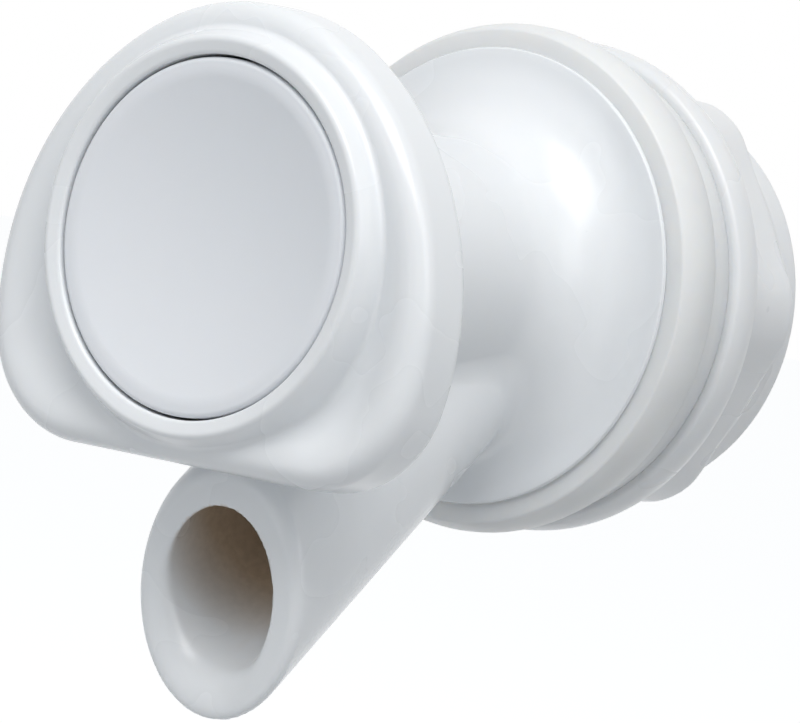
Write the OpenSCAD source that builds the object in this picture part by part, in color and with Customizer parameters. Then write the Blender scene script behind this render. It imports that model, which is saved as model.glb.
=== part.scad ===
// Push-button spigot for a drinks cooler, with its gaskets and lock nut, in millimetres.
// The origin lies on the main axis, at the plane where the front gasket meets the cooler's wall.
// +Y runs along the axis into the cooler, +Z is up and the button faces -Y.

/* [Reach] */
// Distance from the cooler's wall to the front of the button
reach = 40; // [38:0.5:50]

/* [Finger plate] */
// Radius of the plate's round top
plate_top_r = 18.4; // [18:0.1:22]
// Radius of the plate's bulging sides
plate_side_r = 24.3; // [23:0.1:27]
// Angle from level at which the top turns into the sides
plate_side_from = 60; // [55:1:66]
// Height of the axis above the plate's flat bottom edge
plate_drop = 17.5; // [17:0.1:20]
// Radius of the plate's bottom corners
plate_corner_r = 9.4; // [8.6:0.1:10]
// Distance from the button's front back to the plate's front rim
plate_setback = 1.35; // [0.8:0.05:2]
// Depth of the plate from its front rim to its back edge
plate_depth = 5.65; // [5.2:0.05:7]
// Thickness of the plate inside its rim
plate_wall = 2.3; // [1.8:0.1:3]
// Radius of the rim's front edge
rim_front_r = 1.6; // [1:0.1:2.2]
// Radius of the rim's back edge
rim_back_r = 1.1; // [0.6:0.1:1.4]
// Width of the rim seen from behind
rim_w = 2.6; // [2.2:0.1:3.5]
// Depth of the dished front below the rim
dish_depth = 1.2; // [0.6:0.1:1.6]
// Width over which the front falls from the rim to its deepest
dish_w = 5; // [4:0.1:6]

/* [Bezel] */
// Width of the raised ring round the button
bezel_w = 2.4; // [2:0.1:3.5]
// How far the ring's crest stands in front of the button's edge
bezel_proud = 0.35; // [0:0.05:1]
// Height of the ring's rounded outer shoulder
bezel_round = 1.9; // [0.8:0.1:2.2]
// Width of the ring from the button's edge to its crest
bezel_crest_w = 1.25; // [0.6:0.05:1.4]

/* [Button] */
// Radius of the button
button_r = 13.85; // [13:0.05:15]
// Slack between the button and its well, on the radius
button_gap = 0.2; // [0.1:0.05:0.5]
// Length of the button's skirt
skirt_len = 3; // [2.6:0.1:5]
// Wall of the button's face and skirt
button_wall = 1.6; // [1.2:0.1:2.4]
// Depth of the thumb dish
thumb_depth = 1.5; // [0.8:0.1:2]
// Width of the flat edge round the thumb dish
thumb_edge = 1.2; // [0.6:0.1:3]
// How far the button travels when it is pressed
press_travel = 4.5; // [3:0.1:5]
// Slack under the skirt when the button is fully pressed
press_slack = 0.3; // [0.2:0.1:1]
// Radius of the socket that grips the stem
boss_r = 4.2; // [3.8:0.1:4.5]
// Length of that socket behind the button's face
boss_len = 5.2; // [4:0.1:5.6]
// Radius of the pad that the spring pushes on
spring_pad_r = 6.6; // [6.4:0.1:7]

/* [Barrel] */
// Radius of the barrel
barrel_r = 10.5; // [10:0.1:12]
// Wall of the cup that holds the button
cup_wall = 2.15; // [1.8:0.05:2.5]
// Length of the cup behind the floor of the button's well
cup_floor_len = 0.8; // [0.4:0.1:1.6]
// Length of the shoulder from the cup down to the barrel
shoulder_len = 4.6; // [4:0.1:6]
// Radius of the pocket that holds the spring
spring_pocket_r = 7.4; // [7.3:0.1:8]
// Radius of the wet chamber behind the gland
chamber_r = 7.9; // [7:0.1:8.4]

/* [Flange] */
// Radius of the flange
flange_r = 18.4; // [18:0.1:19.5]
// Radius of the hollow curve from the barrel out to the flange
flare_r = 7; // [5:0.1:7.5]
// Thickness of the flange's sharp edge
flange_edge = 0.5; // [0.3:0.1:1.5]

/* [Spout] */
// Outer radius of the spout
spout_r = 8.2; // [7.5:0.1:9]
// Radius of the spout's bore
spout_bore_r = 5.55; // [4.5:0.05:6]
// Length of that bore behind the middle of the mouth
spout_bore_len = 14; // [10:0.5:18]
// Radius of the narrower waterway from there up to the chamber
waterway_r = 5.2; // [4.2:0.05:5.5]
// Slope of the spout below level
spout_angle = 43.2; // [40:0.2:48]
// Distance from the button's front back to the middle of the mouth
mouth_setback = 8.8; // [8.6:0.1:10]
// Distance from the axis down to the middle of the mouth
mouth_drop = 27.4; // [27:0.1:30]
// Lean of the mouth's face from upright
mouth_lean = 6.8; // [0:0.2:10]
// Width of the web that joins the mouth to the plate
web_w = 8.2; // [4:0.1:10]
// Height of that web above the plate's bottom edge
web_t = 2.6; // [1.6:0.1:4]

/* [Shank] */
// Radius of the threaded shank over its crests
shank_r = 12.3; // [12:0.1:13]
// Length of the shank behind the cooler's wall plane
shank_len = 21.5; // [20:0.5:40]
// Radius of the plain pilot at the shank's end
pilot_r = 11.4; // [11:0.1:11.8]
// Length of that pilot
pilot_len = 2; // [1:0.1:3]
// Radius of the shank's bore
shank_bore_r = 9.2; // [8.8:0.1:9.6]
// Depth of the wider bore in front of the cooler's wall plane
shank_bore_ahead = 2; // [1:0.5:3]

/* [Gaskets] */
// Radius of the front gasket
front_gasket_r = 20.5; // [19:0.1:22]
// Thickness of the front gasket
front_gasket_t = 4.5; // [3:0.1:6]
// Radius of the rear gasket
rear_gasket_r = 19.2; // [17:0.1:20]
// Thickness of the rear gasket
rear_gasket_t = 3.3; // [2:0.1:4]
// Radius of the gaskets' bulging rims
gasket_rim_r = 4.5; // [3:0.1:6]
// Slack between the gaskets and the shank, on the radius
gasket_gap = 0.3; // [0.1:0.05:0.5]

/* [Lock nut] */
// Distance across the nut's flats
nut_flats = 33.1; // [32:0.1:35]
// Radius to which the nut's corners are rounded
nut_corner_r = 18.4; // [17:0.05:19]
// Height of the whole nut
nut_h = 13.9; // [12:0.1:18]
// Radius of the nut's round flange
nut_flange_r = 20; // [19:0.1:22]
// Thickness of the nut's round flange
nut_flange_t = 3; // [2:0.1:4]
// Radius of the round hub behind the hexagon
nut_hub_r = 16.1; // [14.5:0.1:16.6]
// Length of that hub
nut_hub_len = 3.2; // [1:0.1:5]
// Slack between the nut's bore and the shank, on the radius
nut_gap = 0.06; // [0.02:0.01:0.1]
// Angle to which the nut is turned, clockwise as seen from the button
nut_turned = 58; // [0:1:59]

/* [Plunger] */
// Radius of the stem
stem_r = 2.5; // [2.2:0.1:3]
// Running slack between the stem and its guide, on the radius
stem_gap = 0.06; // [0.02:0.01:0.1]
// How far the stem's tail stands behind the shank's end
stem_tail = 5.1; // [4.6:0.1:7]
// Radius of the stem's collar in front of the valve seal
collar_r = 4.5; // [3.5:0.1:5.5]
// Thickness of that collar
collar_t = 1.2; // [0.8:0.1:2]
// Length of the guide vanes on the stem
vane_len = 13; // [8:0.5:15]
// Thickness of a guide vane
vane_t = 1.2; // [0.8:0.1:1.6]
// Distance from the vanes to the collar behind them
vane_setback = 1.8; // [1.2:0.1:3]
// Running slack between the vanes and the shank's bore, on the radius
vane_gap = 0.1; // [0.04:0.01:0.1]
// Number of guide vanes
vane_count = 4; // [3:1:6]
// Width of the chamfer on the stem's tail
tip_w = 0.6; // [0.2:0.1:1]
// Length of that chamfer
tip_len = 1; // [0.4:0.1:1.6]

/* [Gland] */
// Distance from the button well's floor to the gland's face
pocket_len = 6.8; // [6:0.1:8]
// Thickness of the gland washer
gland_washer_t = 1; // [0.6:0.1:1.6]
// Slack round the gland washer, on the radius
gland_washer_gap = 0.15; // [0.05:0.05:0.3]
// Radius of the O-ring's cord
o_ring_cord_r = 0.9; // [0.7:0.05:1.1]
// Slack round the O-ring, on each side
o_ring_gap = 0.05; // [0.03:0.01:0.1]
// Length of the stem's guide behind the O-ring
guide_len = 2.4; // [1.5:0.1:4]

/* [Valve] */
// Radius of the valve seal
seal_r = 10.6; // [10.2:0.1:11.5]
// Thickness of the valve seal's rim
seal_t = 1.85; // [1.4:0.05:2.5]
// Length of the seal's plug inside the shank
plug_len = 1.5; // [1:0.1:2.5]
// Slack between the plug's wide end and the bore, on the radius
plug_gap = 0.3; // [0.2:0.05:0.6]
// How much narrower the plug is at its front
plug_taper = 1.9; // [1:0.1:3]
// Gap between the seal and the shank's end
seat_gap = 0.05; // [0.02:0.01:0.1]
// Chamfer on the back of the seal's rim
seal_chamfer = 0.5; // [0.2:0.1:0.9]
// Radius of the stiff washer behind the seal
seal_washer_r = 7.5; // [6:0.1:9]
// Thickness of that washer
seal_washer_t = 0.8; // [0.5:0.1:1.5]
// Radius of the push-on nut
push_nut_r = 4.6; // [4:0.1:6]
// Thickness of the push-on nut's sheet
push_nut_t = 0.6; // [0.4:0.1:1]
// How far the push-on nut's middle is dished to the rear
push_nut_dish = 0.8; // [0.4:0.1:1.2]
// Width of the push-on nut's flat rim
push_nut_rim_w = 1.15; // [0.8:0.05:1.4]

/* [Spring] */
// Radius of the spring's coils at the middle of the wire
coil_r = 5.7; // [5.2:0.1:6]
// Radius of the spring's wire
wire_r = 0.45; // [0.3:0.05:0.5]
// Number of turns
coil_turns = 5; // [4:0.5:6]

/* [Hidden] */

// Sides of a circle, a hair of overlap between shapes that join, and how far a cut runs past a face
fine = 96;
tiny = 0.01;
past = 5;
// How deep a ring or a web is rooted in the plate
root = 1;
plastic = "whitesmoke";
rubber = "gainsboro";
steel = "silver";

// Places along the axis, from the button's front to the tail
front_y = -reach;
rim_y = front_y + plate_setback;
dish_y = rim_y + dish_depth;
plate_back_y = rim_y + plate_depth;
skirt_end_y = front_y + skirt_len;
well_floor_y = skirt_end_y + press_travel + press_slack;
shoulder_y = well_floor_y + cup_floor_len;
gland_y = well_floor_y + pocket_len;
o_ring_pocket_len = 2 * (o_ring_cord_r + o_ring_gap);
guide_y = gland_y + o_ring_pocket_len;
chamber_y = guide_y + guide_len;
flange_back_y = -front_gasket_t;
flange_front_y = flange_back_y - flange_edge;
nut_y = rear_gasket_t;
tail_y = shank_len + stem_tail;
seal_front_y = shank_len + seat_gap;
seal_back_y = seal_front_y + seal_t;
plug_front_y = seal_front_y - plug_len;
washer_back_y = seal_back_y + seal_washer_t;
vane_end_y = plug_front_y - collar_t - vane_setback;
washer_front_y = gland_y - gland_washer_t;

// Radii that follow from a neighbour
well_r = button_r + button_gap;
bezel_r = well_r + bezel_w;
cup_r = well_r + cup_wall;
gland_washer_r = spring_pocket_r - gland_washer_gap;
o_ring_pocket_r = stem_r + 2 * (o_ring_cord_r + o_ring_gap);
vane_r = shank_bore_r - vane_gap;
plug_r = shank_bore_r - plug_gap;
thumb_r = button_r - thumb_edge;
thumb_ball_r = (pow(thumb_r, 2) + pow(thumb_depth, 2)) / (2 * thumb_depth);
thumb_ball_y = front_y + thumb_depth - thumb_ball_r;
face_back_y = front_y + thumb_depth + button_wall;

// Turns a profile drawn as [radius, place along the axis] about the Y axis
module turned() rotate([-90, 0, 0]) rotate_extrude($fn = fine) children();

// A ring or a disc between two places along the axis
module ring(r, hole_r, from_y, to_y) {
    turned() translate([hole_r, from_y]) square([r - hole_r, to_y - from_y]);
}

// A washer whose rim bulges to radius r
module bulging_ring(r, hole_r, from_y, to_y, rim_r) {
    turned() intersection() {
        translate([hole_r, from_y]) square([r - hole_r, to_y - from_y]);
        union() {
            translate([r - rim_r, (from_y + to_y) / 2]) circle(rim_r, $fn = fine);
            translate([hole_r, from_y]) square([r - rim_r - hole_r, to_y - from_y]);
        }
    }
}

function arc(middle, r, from_a, to_a, steps) =
    [for (i = [0:steps]) middle + r * [cos(from_a + (to_a - from_a) * i / steps),
                                       sin(from_a + (to_a - from_a) * i / steps)]];

function mirrored(points) = [for (i = [len(points) - 1:-1:0]) [-points[i][0], points[i][1]]];

// Outline of the finger plate as [x, z], drawn in from its edge by inset
side_middle = (plate_top_r - plate_side_r) * [cos(plate_side_from), sin(plate_side_from)];
corner_z = plate_corner_r - plate_drop;
corner_x = side_middle[0] + sqrt(pow(plate_side_r - plate_corner_r, 2) - pow(corner_z - side_middle[1], 2));
corner_to = atan2(corner_z - side_middle[1], corner_x - side_middle[0]);

function plate_half(inset) = concat(
    arc([corner_x, corner_z], plate_corner_r - inset, -90, corner_to, 9),
    arc(side_middle, plate_side_r - inset, corner_to + 5, plate_side_from - 5, 12),
    arc([0, 0], plate_top_r - inset, plate_side_from, 84, 5));

function plate_outline(inset) = concat(plate_half(inset), mirrored(plate_half(inset)));

// Inset of the plate's flat middle, which leaves a little of its corners' radius
plate_middle = plate_corner_r - 0.2;
// Slope of the step inside the rim's back, on each side of its middle
rim_step = 0.3;

// Section of the plate as [inset, y], from the middle of its front round the rim to its back
function plate_section() = concat(
    [for (i = [6:-1:1]) let (fall = min(1, i / 5))
        [i == 6 ? plate_middle : rim_front_r + dish_w * fall,
         rim_y + dish_depth * (1 - cos(180 * fall)) / 2]],
    [for (i = [0:5]) let (a = 90 * i / 5)
        [rim_front_r * (1 - sin(a)), rim_y + rim_front_r * (1 - cos(a))]],
    [for (i = [0:4]) let (a = 90 * i / 4)
        [rim_back_r * (1 - cos(a)), plate_back_y - rim_back_r * (1 - sin(a))]],
    [[rim_w - rim_step, plate_back_y],
     [rim_w + rim_step, dish_y + plate_wall],
     [plate_middle, dish_y + plate_wall]]);

module finger_plate() {
    section = plate_section();
    rings = [for (s = section) [for (p = plate_outline(s[0])) [p[0], s[1], p[1]]]];
    n = len(rings[0]);
    last = len(rings) - 1;
    points = [for (one = rings) each one];
    sides = [for (k = [0:last - 1]) for (i = [0:n - 1]) let (j = (i + 1) % n)
        each [[k * n + i, k * n + j, (k + 1) * n + j], [k * n + i, (k + 1) * n + j, (k + 1) * n + i]]];
    front = [for (i = [n - 1:-1:0]) i];
    back = [for (i = [0:n - 1]) last * n + i];
    polyhedron(points, concat([front], sides, [back]));
}

// Raised ring round the button, with a rounded crest and outer shoulder
module bezel() {
    crest_y = front_y - bezel_proud;
    crest_r = well_r + bezel_crest_w;
    shoulder_w = bezel_r - crest_r;
    turned() polygon(concat(
        [[well_r - tiny, shoulder_y], [well_r - tiny, front_y - bezel_proud / 3]],
        [for (i = [0:6]) let (a = 90 * i / 6)
            [crest_r + shoulder_w * sin(a), crest_y + bezel_round * (1 - cos(a))]],
        [[bezel_r, dish_y + root], [cup_r, dish_y + root], [cup_r, shoulder_y]]));
}

// Everything of the body that is round about the main axis
module body_outside() {
    flare_y = flange_front_y - flare_r;
    turned() {
        polygon([[0, dish_y + root], [cup_r, dish_y + root], [cup_r, shoulder_y],
                 [barrel_r, shoulder_y + shoulder_len], [0, shoulder_y + shoulder_len]]);
        translate([0, shoulder_y]) square([barrel_r, flange_front_y - shoulder_y]);
        difference() {
            translate([0, flare_y]) square([barrel_r + flare_r, flare_r + tiny]);
            translate([barrel_r + flare_r, flare_y]) circle(flare_r, $fn = fine);
        }
        translate([0, flange_front_y]) square([flange_r, flange_edge]);
        translate([0, flange_front_y]) square([shank_r, shank_len - pilot_len - flange_front_y]);
        translate([0, flange_front_y]) square([pilot_r, shank_len - flange_front_y]);
    }
    bezel();
}

// Frame at the middle of the mouth, with +Z running up the spout's axis
module at_mouth() {
    translate([0, front_y + mouth_setback, -mouth_drop]) rotate([spout_angle - 90, 0, 0]) children();
}

// The tube ends inside the barrel, this far below the axis
tube_end_z = 0.6 * barrel_r;

module spout_tube() {
    run = (mouth_drop - tube_end_z) / sin(spout_angle);
    ahead = 2 * spout_r;
    difference() {
        at_mouth() translate([0, 0, -ahead]) cylinder(r = spout_r, h = run + ahead, $fn = fine);
        translate([0, front_y + mouth_setback, -mouth_drop]) rotate([mouth_lean, 0, 0])
            translate([-2 * spout_r, -4 * spout_r, -4 * spout_r])
                cube([4 * spout_r, 4 * spout_r, 8 * spout_r]);
        translate([-2 * spout_r, flange_back_y, -plate_drop])
            cube([4 * spout_r, 4 * spout_r, 2 * plate_drop]);
    }
}

// Small web that joins the top of the mouth to the plate's back
module mouth_web() {
    web_from = plate_back_y - rim_back_r - root / 2;
    web_to = front_y + mouth_setback + root;
    web_z = -plate_drop + rim_back_r;
    translate([-web_w / 2, web_from, web_z]) cube([web_w, web_to - web_from, web_t]);
}

// The bore ends in the chamber, this far below the axis
bore_end_z = 0.4 * chamber_r;

module spout_bore() {
    run = (mouth_drop - bore_end_z) / sin(spout_angle);
    ahead = 2 * spout_r;
    at_mouth() {
        translate([0, 0, -ahead]) cylinder(r = spout_bore_r, h = spout_bore_len + ahead, $fn = fine);
        cylinder(r = waterway_r, h = run, $fn = fine);
    }
}

module body_inside() {
    ring(well_r, 0, front_y - past, well_floor_y);
    ring(spring_pocket_r, 0, well_floor_y - tiny, gland_y);
    ring(o_ring_pocket_r, 0, gland_y - tiny, guide_y);
    ring(stem_r + stem_gap, 0, guide_y - tiny, chamber_y + tiny);
    ring(chamber_r, 0, chamber_y, -shank_bore_ahead + tiny);
    ring(shank_bore_r, 0, -shank_bore_ahead, shank_len + past);
}

module spigot_body() {
    color(plastic) difference() {
        union() {
            finger_plate();
            body_outside();
            spout_tube();
            mouth_web();
        }
        body_inside();
        spout_bore();
    }
}

module button() {
    boss_end_y = face_back_y + boss_len;
    color(plastic) difference() {
        union() {
            difference() {
                ring(button_r, 0, front_y, skirt_end_y);
                difference() {
                    ring(button_r - button_wall, 0, front_y + button_wall, skirt_end_y + past);
                    translate([0, thumb_ball_y, 0]) sphere(thumb_ball_r + button_wall, $fn = fine);
                }
            }
            ring(spring_pad_r, 0, face_back_y - button_wall, face_back_y);
            ring(boss_r, 0, face_back_y - tiny, boss_end_y);
        }
        translate([0, thumb_ball_y, 0]) sphere(thumb_ball_r, $fn = fine);
        ring(stem_r, 0, face_back_y, boss_end_y + past);
    }
}

module stem() {
    color(plastic) {
        difference() {
            union() {
                ring(stem_r, 0, face_back_y, tail_y);
                ring(collar_r, 0, plug_front_y - collar_t, plug_front_y);
                for (i = [0:vane_count - 1]) rotate([0, (i + 0.5) * 360 / vane_count, 0])
                    translate([0, vane_end_y - vane_len, -vane_t / 2]) cube([vane_r, vane_len, vane_t]);
            }
            turned() polygon([[stem_r - tip_w, tail_y + tiny], [stem_r + tip_w, tail_y + tiny],
                              [stem_r + tip_w, tail_y - 2 * tip_len], [stem_r, tail_y - tip_len]]);
        }
    }
}

// Point on the spring's wire: turn in degrees along the coil, around in degrees about the wire
spring_from_y = face_back_y + wire_r + seat_gap;
spring_to_y = washer_front_y - wire_r - seat_gap;
spring_steps = 24;

function spring_point(turn, around) =
    let (r = coil_r + wire_r * cos(around))
    [r * cos(turn),
     spring_from_y + (spring_to_y - spring_from_y) * turn / (360 * coil_turns) + wire_r * sin(around),
     r * sin(turn)];

module return_spring() {
    rings = coil_turns * spring_steps;
    sides = 10;
    points = [for (k = [0:rings]) for (i = [0:sides - 1])
        spring_point(k * 360 / spring_steps, i * 360 / sides)];
    faces = [for (k = [0:rings - 1]) for (i = [0:sides - 1]) let (j = (i + 1) % sides)
        each [[k * sides + i, (k + 1) * sides + i, (k + 1) * sides + j],
              [k * sides + i, (k + 1) * sides + j, k * sides + j]]];
    first = [for (i = [0:sides - 1]) i];
    end = [for (i = [sides - 1:-1:0]) rings * sides + i];
    color(steel) polyhedron(points, concat([first], faces, [end]));
}

module gland_washer() {
    color(plastic) ring(gland_washer_r, stem_r + stem_gap, washer_front_y, gland_y);
}

module stem_o_ring() {
    color("dimgray") turned()
        translate([stem_r + o_ring_gap + o_ring_cord_r, guide_y - o_ring_gap - o_ring_cord_r])
            circle(o_ring_cord_r, $fn = 32);
}

module valve_seal() {
    color(rubber) turned() polygon([
        [stem_r, plug_front_y], [plug_r - plug_taper, plug_front_y], [plug_r, seal_front_y],
        [seal_r, seal_front_y], [seal_r, seal_back_y - seal_chamfer],
        [seal_r - seal_chamfer, seal_back_y], [stem_r, seal_back_y]]);
}

module seal_washer() {
    color(steel) ring(seal_washer_r, stem_r, seal_back_y, washer_back_y);
}

module push_nut() {
    rim_r = push_nut_r - push_nut_rim_w;
    color(steel) turned() polygon([
        [rim_r, washer_back_y], [push_nut_r, washer_back_y], [push_nut_r, washer_back_y + push_nut_t],
        [rim_r, washer_back_y + push_nut_t], [stem_r, washer_back_y + push_nut_t + push_nut_dish],
        [stem_r, washer_back_y + push_nut_dish]]);
}

module front_gasket() {
    color(rubber) bulging_ring(front_gasket_r, shank_r + gasket_gap, flange_back_y, 0, gasket_rim_r);
}

module rear_gasket() {
    color(rubber) bulging_ring(rear_gasket_r, shank_r + gasket_gap, 0, rear_gasket_t, gasket_rim_r);
}

module lock_nut() {
    flange_end_y = nut_y + nut_flange_t;
    nut_end_y = nut_y + nut_h;
    hub_y = nut_end_y - nut_hub_len;
    sharp_r = nut_flats / 2 / cos(30);
    color(rubber) difference() {
        union() {
            bulging_ring(nut_flange_r, 0, nut_y, flange_end_y, nut_flange_t);
            intersection() {
                translate([0, nut_y, 0]) rotate([0, nut_turned, 0]) rotate([-90, 0, 0])
                    cylinder(r = sharp_r, h = hub_y - nut_y, $fn = 6);
                ring(nut_corner_r, 0, nut_y, hub_y);
            }
            ring(nut_hub_r, 0, nut_y, nut_end_y);
        }
        ring(shank_r + nut_gap, 0, nut_y - past, nut_end_y + past);
    }
}

spigot_body();
button();
stem();
return_spring();
gland_washer();
stem_o_ring();
valve_seal();
seal_washer();
push_nut();
front_gasket();
rear_gasket();
lock_nut();
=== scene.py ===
import math
import bpy
import numpy as np
from mathutils import Matrix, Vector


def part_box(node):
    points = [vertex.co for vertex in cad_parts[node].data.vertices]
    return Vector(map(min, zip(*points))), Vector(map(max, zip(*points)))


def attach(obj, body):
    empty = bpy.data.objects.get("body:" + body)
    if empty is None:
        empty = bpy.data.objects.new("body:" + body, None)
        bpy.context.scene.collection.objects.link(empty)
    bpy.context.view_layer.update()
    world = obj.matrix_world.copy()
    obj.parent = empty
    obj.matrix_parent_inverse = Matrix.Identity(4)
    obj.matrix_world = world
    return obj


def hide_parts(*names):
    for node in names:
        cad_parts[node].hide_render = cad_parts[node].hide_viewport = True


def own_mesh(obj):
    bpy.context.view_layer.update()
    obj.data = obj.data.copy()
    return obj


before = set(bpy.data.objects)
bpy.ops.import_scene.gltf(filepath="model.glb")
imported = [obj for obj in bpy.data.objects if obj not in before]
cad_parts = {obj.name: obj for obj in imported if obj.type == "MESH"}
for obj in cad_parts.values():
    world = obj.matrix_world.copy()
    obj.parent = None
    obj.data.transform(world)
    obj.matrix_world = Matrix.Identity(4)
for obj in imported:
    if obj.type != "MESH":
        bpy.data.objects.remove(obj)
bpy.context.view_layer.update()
print("frame loaded with", len(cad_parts), "nodes")

# Sizes below are in millimetres, in the frame's own axes, and meshes are written in metres
mm = 0.001
scene = bpy.context.scene

# Camera, at the photograph's viewing angle

cameraSizes = {
    "turn": 37.831,  # degrees round from the front, towards the right
    "lift": 1.926,  # degrees above level
    "roll": -9.287,
    "lens": 315,  # long lens on a 36 mm wide sensor
    "distance": 0.5338,  # metres from the button's front to the camera, along the view
    "aimRight": 0.01519,  # where the button's middle lies in the view, in metres
    "aimUp": 0.0095,
}


def addCamera(sizes):
    turn, lift, roll = (math.radians(sizes[k]) for k in ("turn", "lift", "roll"))
    back = np.array([math.sin(turn) * math.cos(lift), -math.cos(turn) * math.cos(lift), math.sin(lift)])
    right = np.array([math.cos(turn), math.sin(turn), 0.0])
    up = np.cross(back, right)
    rolled = np.array([
        right * math.cos(roll) - up * math.sin(roll),
        right * math.sin(roll) + up * math.cos(roll),
        back,
    ])
    buttonFront = np.array([0.0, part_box("button")[0].y, 0.0])
    seenAt = np.array([-sizes["aimRight"], sizes["aimUp"], -sizes["distance"]])
    place = buttonFront - rolled.T @ seenAt
    camera = bpy.data.objects.new("ViewCamera", bpy.data.cameras.new("ViewCamera"))
    camera.data.sensor_width = 36
    camera.data.lens = sizes["lens"]
    camera.data.clip_start = 0.01
    matrix = Matrix.Identity(4)
    for i in range(3):
        for j in range(3):
            matrix[j][i] = rolled[i][j]
        matrix[i][3] = place[i]
    camera.matrix_world = matrix
    scene.collection.objects.link(camera)
    scene.camera = camera


addCamera(cameraSizes)
print("camera placed")

# Stage: a pale floor, a white surround and soft studio lamps

stageSizes = {
    "floorBelow": 0.12,  # metres from the main axis down to the floor
    "floorHalf": 4.0,
    "floorColour": (0.50, 0.51, 0.52, 1),
    "floorLift": 0.8,  # how much the camera sees the floor brighter than its lit colour
    "ambient": 0.37,  # brightness of the surround as it lights the object
    "ambientColour": (0.93, 0.97, 1.0, 1),
}

# Name, place and size in metres, watts and colour of each lamp, which all face the object
lampSizes = [
    ("TopLamp", (0.22, -0.34, 0.55), (0.50, 0.45), 3.1, (1.0, 0.99, 0.98)),
    ("RightLamp", (0.62, -0.18, 0.30), (0.35, 0.45), 0.8, (1.0, 1.0, 1.0)),
    ("FrontLamp", (-0.35, -0.66, 0.16), (0.6, 0.5), 0.55, (0.97, 0.98, 1.0)),
]


def plainlySeen(tree):
    # 1 for what the camera sees, straight on, in a gloss or through something clear
    path = tree.nodes.new("ShaderNodeLightPath")
    value = path.outputs["Is Camera Ray"]
    for kind in ("Is Glossy Ray", "Is Transmission Ray"):
        either = tree.nodes.new("ShaderNodeMath")
        either.operation = "MAXIMUM"
        tree.links.new(value, either.inputs[0])
        tree.links.new(path.outputs[kind], either.inputs[1])
        value = either.outputs[0]
    return value


def addWorld(sizes):
    world = bpy.data.worlds.new("PaleSurround")
    scene.world = world
    world.use_nodes = True
    tree = world.node_tree
    tree.nodes.clear()
    seen = plainlySeen(tree)
    soft = tree.nodes.new("ShaderNodeBackground")
    soft.inputs["Color"].default_value = sizes["ambientColour"]
    soft.inputs["Strength"].default_value = sizes["ambient"]
    white = tree.nodes.new("ShaderNodeBackground")
    white.inputs["Color"].default_value = (1, 1, 1, 1)
    white.inputs["Strength"].default_value = 1.0
    mix = tree.nodes.new("ShaderNodeMixShader")
    out = tree.nodes.new("ShaderNodeOutputWorld")
    tree.links.new(seen, mix.inputs[0])
    tree.links.new(soft.outputs[0], mix.inputs[1])
    tree.links.new(white.outputs[0], mix.inputs[2])
    tree.links.new(mix.outputs[0], out.inputs["Surface"])


def addFloor(sizes):
    half = sizes["floorHalf"]
    low = -sizes["floorBelow"]
    mesh = bpy.data.meshes.new("PaleFloor")
    corners = [(-half, -half, low), (half, -half, low), (half, half, low), (-half, half, low)]
    mesh.from_pydata(corners, [], [(0, 1, 2, 3)])
    floor = bpy.data.objects.new("PaleFloor", mesh)
    scene.collection.objects.link(floor)
    paint = bpy.data.materials.new("PaleFloorPaint")
    paint.use_nodes = True
    tree = paint.node_tree
    tree.nodes.clear()
    seen = plainlySeen(tree)
    matte = tree.nodes.new("ShaderNodeBsdfDiffuse")
    matte.inputs["Color"].default_value = sizes["floorColour"]
    glow = tree.nodes.new("ShaderNodeEmission")
    lift = tree.nodes.new("ShaderNodeMath")
    lift.operation = "MULTIPLY"
    lift.inputs[1].default_value = sizes["floorLift"]
    tree.links.new(seen, lift.inputs[0])
    tree.links.new(lift.outputs[0], glow.inputs["Strength"])
    both = tree.nodes.new("ShaderNodeAddShader")
    out = tree.nodes.new("ShaderNodeOutputMaterial")
    tree.links.new(matte.outputs[0], both.inputs[0])
    tree.links.new(glow.outputs[0], both.inputs[1])
    tree.links.new(both.outputs[0], out.inputs["Surface"])
    mesh.materials.append(paint)


def addLamp(name, place, size, watts, colour):
    light = bpy.data.lights.new(name, "AREA")
    light.shape = "RECTANGLE"
    light.size, light.size_y = size
    light.energy = watts
    light.color = colour
    lamp = bpy.data.objects.new(name, light)
    away = np.array(place) / np.linalg.norm(place)  # the lamp's own +Z points away from what it lights
    side = np.cross([0, 0, 1], away)
    side = side / np.linalg.norm(side) if np.linalg.norm(side) > 0.01 else np.array([1.0, 0, 0])
    up = np.cross(away, side)
    matrix = Matrix.Identity(4)
    for i, axis in enumerate((side, up, away)):
        for j in range(3):
            matrix[j][i] = axis[j]
    for j in range(3):
        matrix[j][3] = place[j]
    lamp.matrix_world = matrix
    scene.collection.objects.link(lamp)


addWorld(stageSizes)
addFloor(stageSizes)
for lamp in lampSizes:
    addLamp(*lamp)
scene.view_settings.view_transform = "Standard"
print("stage ready")

# Materials. Every one has mottling, a roughness that wanders and a fine surface texture


def nodeOf(tree, kind, inputs=(), **settings):
    node = tree.nodes.new(kind)
    for key, value in settings.items():
        setattr(node, key, value)
    for key, value in dict(inputs).items():
        if isinstance(value, bpy.types.NodeSocket):
            tree.links.new(value, node.inputs[key])
        else:
            node.inputs[key].default_value = value
    return node


def noiseOf(tree, where, scale, detail=3.0, rough=0.55):
    return nodeOf(tree, "ShaderNodeTexNoise",
                  {"Vector": where, "Scale": scale, "Detail": detail, "Roughness": rough})


def blendOf(tree, amount, first, second):
    mix = nodeOf(tree, "ShaderNodeMix", data_type="RGBA")
    for socket, value in ((mix.inputs[0], amount), (mix.inputs[6], first), (mix.inputs[7], second)):
        if isinstance(value, bpy.types.NodeSocket):
            tree.links.new(value, socket)
        else:
            socket.default_value = value
    return mix.outputs[2]


def rangeOf(tree, value, low, high, fromLow=0.3, fromHigh=0.7):
    node = nodeOf(tree, "ShaderNodeMapRange", interpolation_type="SMOOTHSTEP", inputs=
                  {"Value": value, "From Min": fromLow, "From Max": fromHigh, "To Min": low, "To Max": high})
    return node.outputs[0]


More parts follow.
